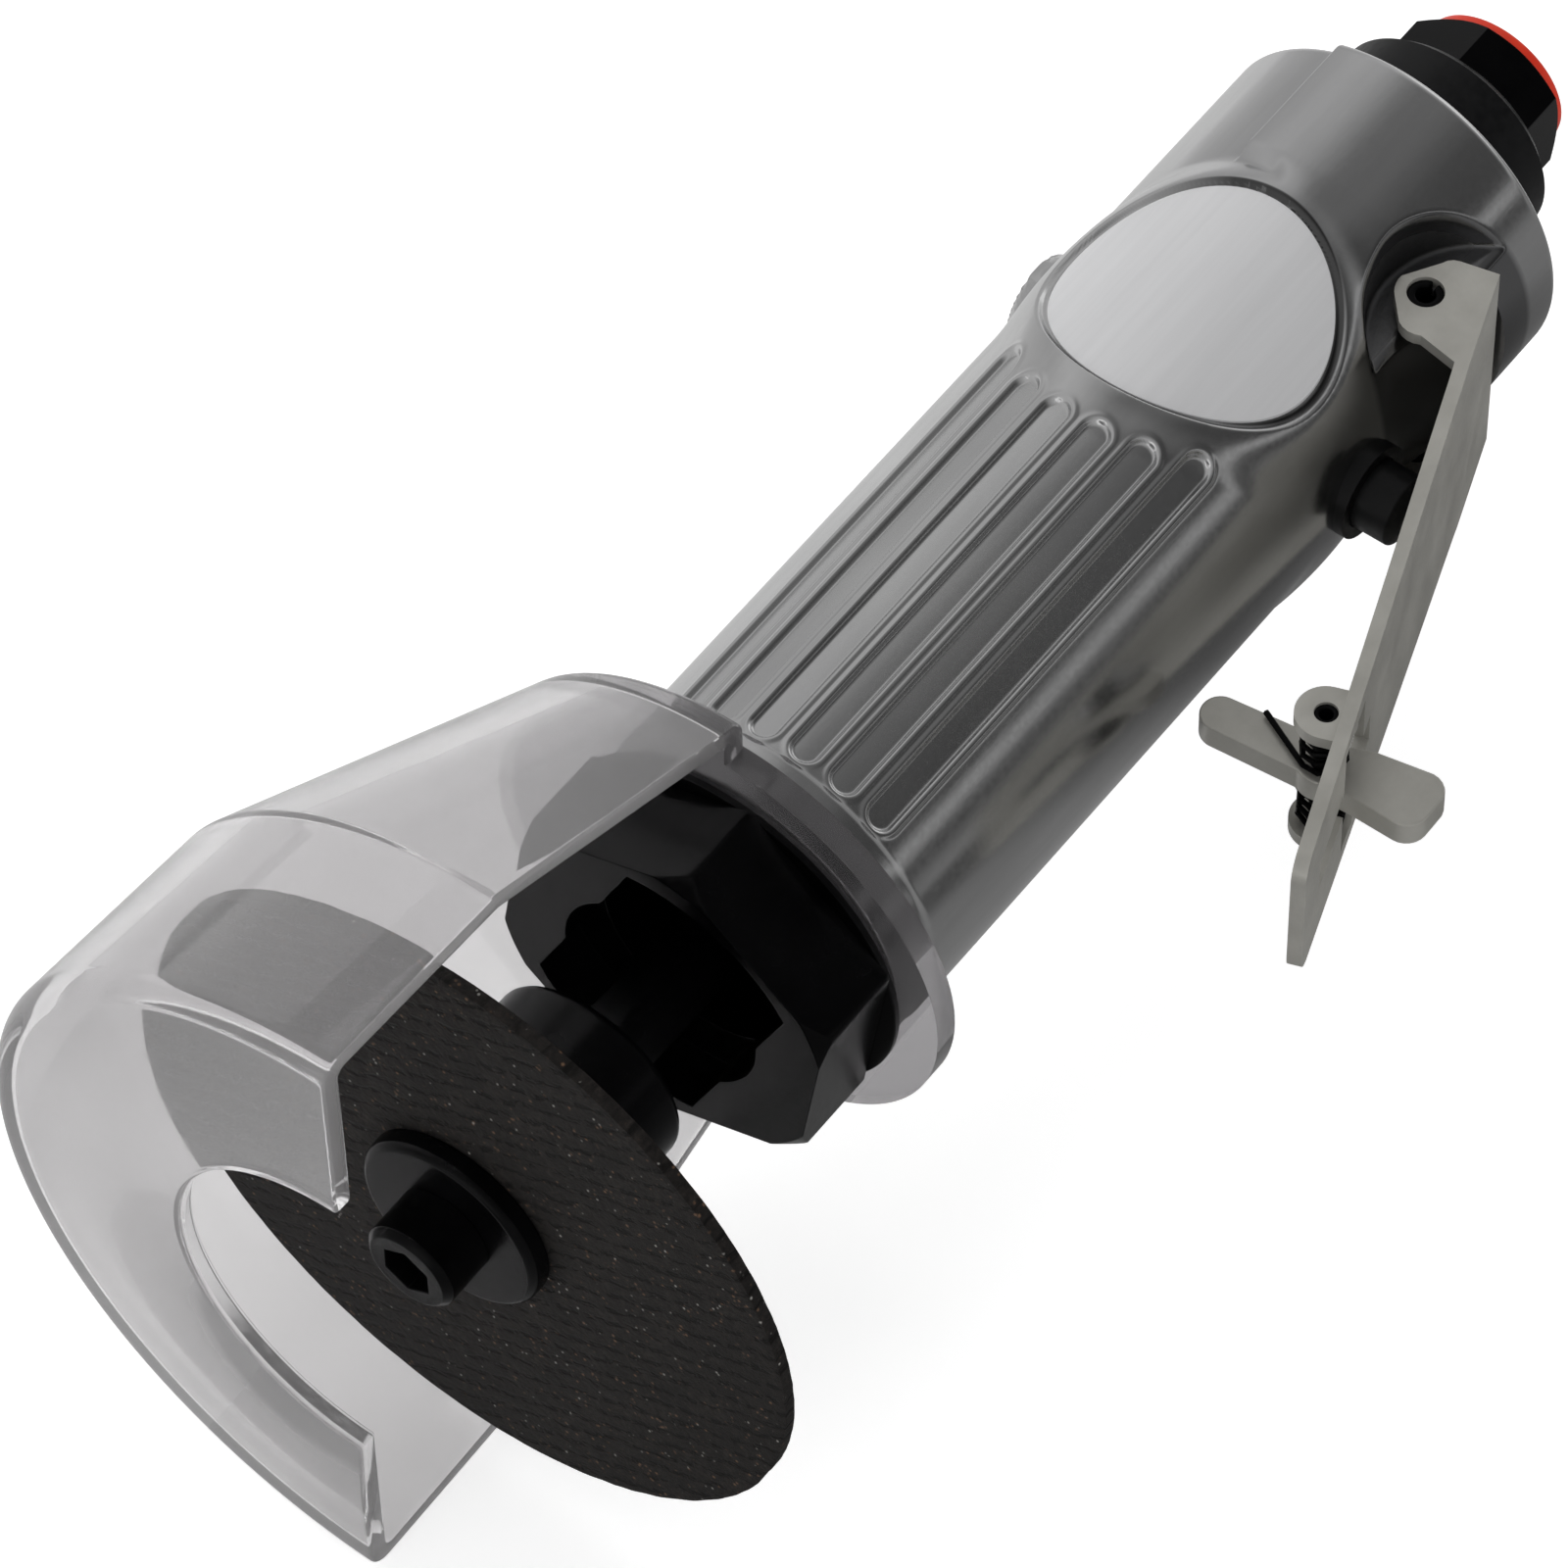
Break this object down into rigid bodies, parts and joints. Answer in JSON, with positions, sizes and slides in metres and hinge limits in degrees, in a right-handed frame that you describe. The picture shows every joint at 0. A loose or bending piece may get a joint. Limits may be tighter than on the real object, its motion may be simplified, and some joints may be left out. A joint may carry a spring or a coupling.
{
  "type": "pneumatic cut off tool",
  "caption": "Straight air cut off tool: fluted aluminium barrel, lever throttle with safety latch, thin abrasive disc and a clear half guard.",
  "frame": {"origin": "centre of the air inlet's mouth, on the spindle axis", "axes": "+X along the spindle from the disc towards the air inlet and out of it, +Z towards the label side, -Y towards the lever"},
  "size_m": [0.1862, 0.0905, 0.0866],
  "materials": {
    "satin_aluminium": "satin",
    "label_foil": "satin",
    "clear_guard": "polished",
    "blackened_steel": "satin",
    "abrasive": "matte",
    "zinc_steel": "satin",
    "bright_steel": "satin",
    "bearing_steel": "polished",
    "cast_iron": "matte",
    "vane_resin": "matte",
    "black_plastic": "satin",
    "black_rubber": "matte",
    "red_plastic": "gloss",
    "felt": "matte",
    "gasket_paper": "matte"
  },
  "bodies": {
    "body": {"housing": "satin_aluminium", "label_plate": "label_foil", "clamp_nut": "blackened_steel", "guard_washer": "blackened_steel", "front_end_plate": "cast_iron", "cylinder_liner": "bright_steel", "rear_end_plate": "cast_iron", "motor_gasket": "gasket_paper", "locating_pin": "bright_steel", "front_bearing_outer": "bearing_steel", "rear_bearing_outer": "bearing_steel", "valve_bushing": "black_plastic", "stem_seal": "black_rubber", "valve_spring": "bright_steel", "lever_pin": "blackened_steel", "inlet_bushing": "blackened_steel", "inlet_strainer": "bright_steel", "inlet_ring": "red_plastic"},
    "guard": {"guard": "clear_guard"},
    "spindle": {"rotor": "blackened_steel", "rotor_vanes": "vane_resin", "front_bearing_inner": "bearing_steel", "front_bearing_balls": "bearing_steel", "rear_bearing_inner": "bearing_steel", "rear_bearing_balls": "bearing_steel", "drive_flange": "blackened_steel", "cutting_disc": "abrasive", "outer_flange": "blackened_steel", "disc_bolt": "blackened_steel"},
    "lever": {"lever": "zinc_steel", "latch_pin": "blackened_steel", "latch_spring": "blackened_steel"},
    "latch": {"safety_latch": "zinc_steel"},
    "valve": {"valve_stem": "black_plastic"},
    "deflector": {"exhaust_deflector": "black_plastic", "silencer_pad": "felt"},
    "regulator": {"regulator_screw": "blackened_steel", "regulator_seal": "black_rubber"}
  },
  "joints": [
    {"name": "spindle_spin", "type": "hinge", "parent": "body", "child": "spindle", "pos_m": [-0.168, 0, 0], "axis": [1, 0, 0], "continuous": true},
    {"name": "guard_turn", "type": "hinge", "parent": "body", "child": "guard", "pos_m": [-0.1254, 0, 0], "axis": [1, 0, 0], "range_deg": [-180, 180]},
    {"name": "lever_press", "type": "hinge", "parent": "body", "child": "lever", "pos_m": [-0.0347, -0.0156, 0], "axis": [0, 0, -1], "range_deg": [0, 10], "stiffness_Nm_per_rad": 0.3, "springref_deg": -20.05},
    {"name": "latch_fold", "type": "hinge", "parent": "lever", "child": "latch", "pos_m": [-0.07965, -0.0354, 0], "axis": [0, 0, -1], "range_deg": [0, 70]},
    {"name": "valve_press", "type": "slide", "parent": "body", "child": "valve", "axis": [0, 1, 0], "range_m": [0, 0.0026], "deforming": ["valve_spring"]},
    {"name": "deflector_turn", "type": "hinge", "parent": "body", "child": "deflector", "pos_m": [-0.0122, 0, 0], "axis": [1, 0, 0], "range_deg": [-180, 180]},
    {"name": "regulator_turn", "type": "hinge", "parent": "body", "child": "regulator", "pos_m": [-0.0495, 0.015, 0], "axis": [0, 1, 0], "range_deg": [-90, 90]}
  ],
  "couplings": [
    {"joint": "latch_fold", "follows": "lever_press", "ratio": 7},
    {"joint": "valve_press", "follows": "lever_press", "m_per_rad": 0.01476}
  ]
}
